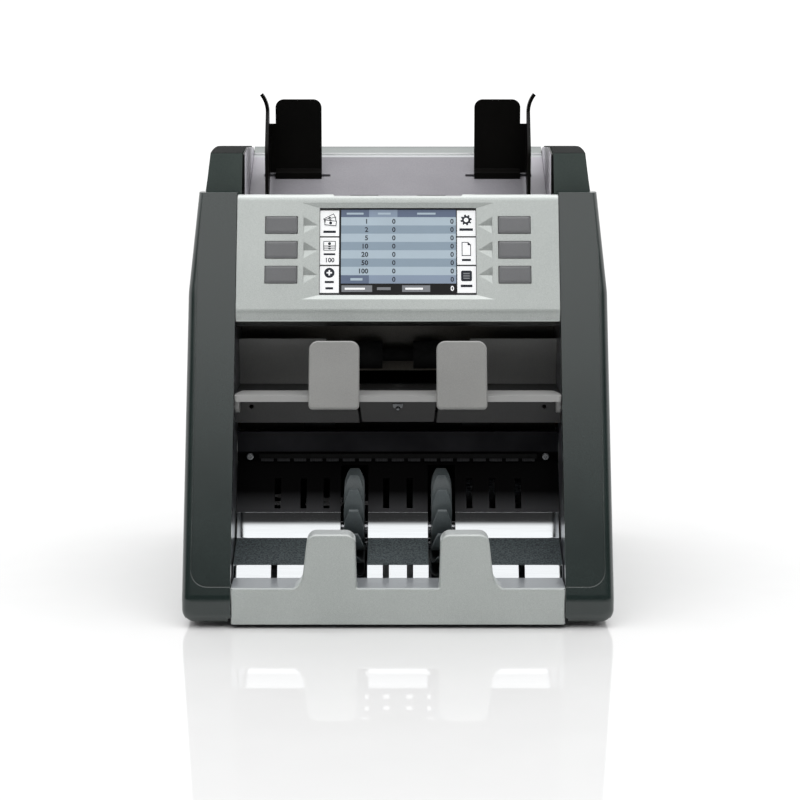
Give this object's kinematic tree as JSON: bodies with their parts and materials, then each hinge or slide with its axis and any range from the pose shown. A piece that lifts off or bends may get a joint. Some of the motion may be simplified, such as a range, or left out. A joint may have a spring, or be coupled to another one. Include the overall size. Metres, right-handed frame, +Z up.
{
  "type": "banknote counting machine",
  "caption": "Desktop banknote counter with a top feed hopper, sliding guides, sloping display bezel with keys, reject pocket with sprung stopper, and stacker pocket with bladed wheels.",
  "frame": {"origin": "on the ground below the middle of the body", "axes": "+Z up, -Y towards the user, +X to the right seen from the front"},
  "size_m": [0.26, 0.2594, 0.317],
  "materials": {
    "cover_grey": "fine satin grain",
    "ear_grey": "fine satin grain",
    "silver_paint": "satin silver paint",
    "floor_paint": "satin paint",
    "black_plastic": "semi-gloss",
    "tray_grey": "matte",
    "stopper_grey": "satin",
    "mirror_steel": "polished",
    "wheel_grey": "soft matte",
    "bright_fitting": "polished",
    "screw_steel": "plain",
    "key_grey": "satin",
    "screen_glass": "clear",
    "screen_picture": "lit panel",
    "board_green": "lacquered",
    "supply": "lacquered",
    "zinc_sheet": "zinc plated",
    "shaft_steel": "ground",
    "roller_rubber": "matte",
    "foot_rubber": "matte",
    "belt_rubber": "matte",
    "bush_bronze": "sintered",
    "motor_metal": "plain",
    "pulley_metal": "turned",
    "gear_plastic": "natural",
    "brush_tufts": "carbon fibre",
    "socket_black": "moulded",
    "sensor_black": "moulded"
  },
  "bodies": {
    "chassis": {"antistatic_brush": "brush_tufts", "base_plate": "zinc_sheet", "cover_screws": "screw_steel", "display_bezel": "silver_paint", "drive_belts": "belt_rubber", "feed_motor": "motor_metal", "frame_spacers": "shaft_steel", "front_lower_panel": "silver_paint", "hopper_cheeks": "floor_paint", "hopper_floor": "floor_paint", "image_sensor": "sensor_black", "key_board": "board_green", "left_front_cover": "cover_grey", "left_rear_cover": "ear_grey", "left_side_frame": "zinc_sheet", "main_board": "board_green", "main_motor": "motor_metal", "pocket_fittings": "bright_fitting", "power_supply": "supply", "rear_lower_panel": "ear_grey", "rear_sockets": "socket_black", "rear_top_cover": "silver_paint", "reject_back_plates": "tray_grey", "reject_tray": "tray_grey", "retard_roller": "roller_rubber", "right_front_cover": "cover_grey", "right_rear_cover": "ear_grey", "right_side_frame": "zinc_sheet", "rubber_feet": "foot_rubber", "screen_lens": "screen_glass", "screen_module": "screen_picture", "shaft_bushes": "bush_bronze", "stacker_back_guide": "black_plastic", "stacker_plate": "mirror_steel", "transport_guides": "black_plastic"},
    "left_guide": {"left_guide": "black_plastic"},
    "right_guide": {"right_guide": "black_plastic"},
    "guide_pinion": {"guide_pinion": "gear_plastic"},
    "reject_stopper": {"reject_stopper": "stopper_grey"},
    "stacker": {"stacker_shaft": "shaft_steel", "stacker_wheels": "wheel_grey"},
    "transport_drum": {"transport_drum": "roller_rubber"},
    "upper_transport_roller": {"upper_transport_roller": "roller_rubber"},
    "reject_exit_roller": {"reject_exit_roller": "roller_rubber"},
    "lower_transport_roller": {"lower_transport_roller": "roller_rubber"},
    "feed_rollers": {"feed_rollers": "roller_rubber"},
    "pickup_rollers": {"pickup_rollers": "roller_rubber"},
    "main_motor_pulley": {"main_motor_pulley": "pulley_metal"},
    "feed_motor_pulley": {"feed_motor_pulley": "pulley_metal"},
    "diverter_gate": {"diverter_gate": "black_plastic"},
    "rear_door": {"rear_door": "ear_grey"},
    "upper_pinch_roller": {"upper_pinch_roller": "shaft_steel"},
    "lower_pinch_roller": {"lower_pinch_roller": "shaft_steel"},
    "power_switch": {"power_switch": "socket_black"},
    "left_key_top": {"left_key_top": "key_grey"},
    "left_key_middle": {"left_key_middle": "key_grey"},
    "left_key_bottom": {"left_key_bottom": "key_grey"},
    "right_key_top": {"right_key_top": "key_grey"},
    "right_key_middle": {"right_key_middle": "key_grey"},
    "right_key_bottom": {"right_key_bottom": "key_grey"}
  },
  "joints": [
    {"name": "drum_spin", "type": "hinge", "parent": "chassis", "child": "transport_drum", "pos_m": [0, 0.034, 0.168], "axis": [1, 0, 0], "continuous": true},
    {"name": "upper_roller_spin", "type": "hinge", "parent": "chassis", "child": "upper_transport_roller", "pos_m": [0, -0.012, 0.192], "axis": [1, 0, 0], "continuous": true},
    {"name": "exit_roller_spin", "type": "hinge", "parent": "chassis", "child": "reject_exit_roller", "pos_m": [0, -0.018, 0.15], "axis": [1, 0, 0], "continuous": true},
    {"name": "lower_roller_spin", "type": "hinge", "parent": "chassis", "child": "lower_transport_roller", "pos_m": [0, -0.032, 0.112], "axis": [1, 0, 0], "continuous": true},
    {"name": "stacker_spin", "type": "hinge", "parent": "chassis", "child": "stacker", "pos_m": [0, -0.054, 0.044], "axis": [1, 0, 0], "continuous": true},
    {"name": "main_motor_spin", "type": "hinge", "parent": "chassis", "child": "main_motor_pulley", "pos_m": [0, 0.082, 0.046], "axis": [1, 0, 0], "continuous": true},
    {"name": "feed_spin", "type": "hinge", "parent": "chassis", "child": "feed_rollers", "pos_m": [0, -0.01, 0.22298], "axis": [1, 0, 0], "continuous": true},
    {"name": "pickup_spin", "type": "hinge", "parent": "chassis", "child": "pickup_rollers", "pos_m": [0, 0.014, 0.2403], "axis": [1, 0, 0], "continuous": true},
    {"name": "feed_motor_spin", "type": "hinge", "parent": "chassis", "child": "feed_motor_pulley", "pos_m": [0, 0.055, 0.22501], "axis": [1, 0, 0], "continuous": true},
    {"name": "upper_pinch_spin", "type": "hinge", "parent": "rear_door", "child": "upper_pinch_roller", "pos_m": [0, 0.07109, 0.17794], "axis": [1, 0, 0], "continuous": true},
    {"name": "lower_pinch_spin", "type": "hinge", "parent": "rear_door", "child": "lower_pinch_roller", "pos_m": [0, 0.0688, 0.15177], "axis": [1, 0, 0], "continuous": true},
    {"name": "left_guide_slide", "type": "slide", "parent": "chassis", "child": "left_guide", "axis": [1, 0, 0], "range_m": [-0.007, 0.028]},
    {"name": "right_guide_slide", "type": "slide", "parent": "chassis", "child": "right_guide", "axis": [-1, 0, 0], "range_m": [-0.007, 0.028]},
    {"name": "pinion_turn", "type": "hinge", "parent": "chassis", "child": "guide_pinion", "pos_m": [0, 0.04926, 0.2692], "axis": [0, -0.5, 0.866], "range_deg": [-230, 58]},
    {"name": "left_key_top_press", "type": "slide", "parent": "chassis", "child": "left_key_top", "axis": [0, 0.9397, -0.342], "range_m": [0, 0.0007], "stiffness_N_per_m": 1200, "springref_m": -0.0003},
    {"name": "left_key_middle_press", "type": "slide", "parent": "chassis", "child": "left_key_middle", "axis": [0, 0.9397, -0.342], "range_m": [0, 0.0007], "stiffness_N_per_m": 1200, "springref_m": -0.0003},
    {"name": "left_key_bottom_press", "type": "slide", "parent": "chassis", "child": "left_key_bottom", "axis": [0, 0.9397, -0.342], "range_m": [0, 0.0007], "stiffness_N_per_m": 1200, "springref_m": -0.0003},
    {"name": "right_key_top_press", "type": "slide", "parent": "chassis", "child": "right_key_top", "axis": [0, 0.9397, -0.342], "range_m": [0, 0.0007], "stiffness_N_per_m": 1200, "springref_m": -0.0003},
    {"name": "right_key_middle_press", "type": "slide", "parent": "chassis", "child": "right_key_middle", "axis": [0, 0.9397, -0.342], "range_m": [0, 0.0007], "stiffness_N_per_m": 1200, "springref_m": -0.0003},
    {"name": "right_key_bottom_press", "type": "slide", "parent": "chassis", "child": "right_key_bottom", "axis": [0, 0.9397, -0.342], "range_m": [0, 0.0007], "stiffness_N_per_m": 1200, "springref_m": -0.0003},
    {"name": "stopper_tilt", "type": "hinge", "parent": "chassis", "child": "reject_stopper", "pos_m": [0, -0.078, 0.1268], "axis": [1, 0, 0], "range_deg": [0, 70], "stiffness_Nm_per_rad": 0.08, "springref_deg": -28.65},
    {"name": "gate_swing", "type": "hinge", "parent": "chassis", "child": "diverter_gate", "pos_m": [0, -0.004, 0.128], "axis": [1, 0, 0], "range_deg": [-8, 8], "stiffness_Nm_per_rad": 0.15},
    {"name": "door_open", "type": "hinge", "parent": "chassis", "child": "rear_door", "pos_m": [0, 0.122, 0.066], "axis": [-1, 0, 0], "range_deg": [0, 75]},
    {"name": "switch_rock", "type": "hinge", "parent": "chassis", "child": "power_switch", "pos_m": [-0.02, 0.1205, 0.032], "axis": [-1, 0, 0], "range_deg": [0, 10]}
  ],
  "couplings": [
    {"joint": "upper_roller_spin", "follows": "drum_spin", "ratio": 1.3333},
    {"joint": "exit_roller_spin", "follows": "drum_spin", "ratio": 0.8},
    {"joint": "lower_roller_spin", "follows": "drum_spin", "ratio": 1.3333},
    {"joint": "stacker_spin", "follows": "drum_spin", "ratio": 0.6875},
    {"joint": "main_motor_spin", "follows": "drum_spin", "ratio": 2.4444},
    {"joint": "upper_pinch_spin", "follows": "drum_spin", "ratio": -5.3333},
    {"joint": "lower_pinch_spin", "follows": "drum_spin", "ratio": -5.3333},
    {"joint": "pickup_spin", "follows": "feed_spin", "ratio": 1},
    {"joint": "feed_motor_spin", "follows": "feed_spin", "ratio": 1.4286},
    {"joint": "right_guide_slide", "follows": "left_guide_slide", "ratio": 1},
    {"joint": "pinion_turn", "follows": "left_guide_slide", "rad_per_m": -142.86}
  ]
}
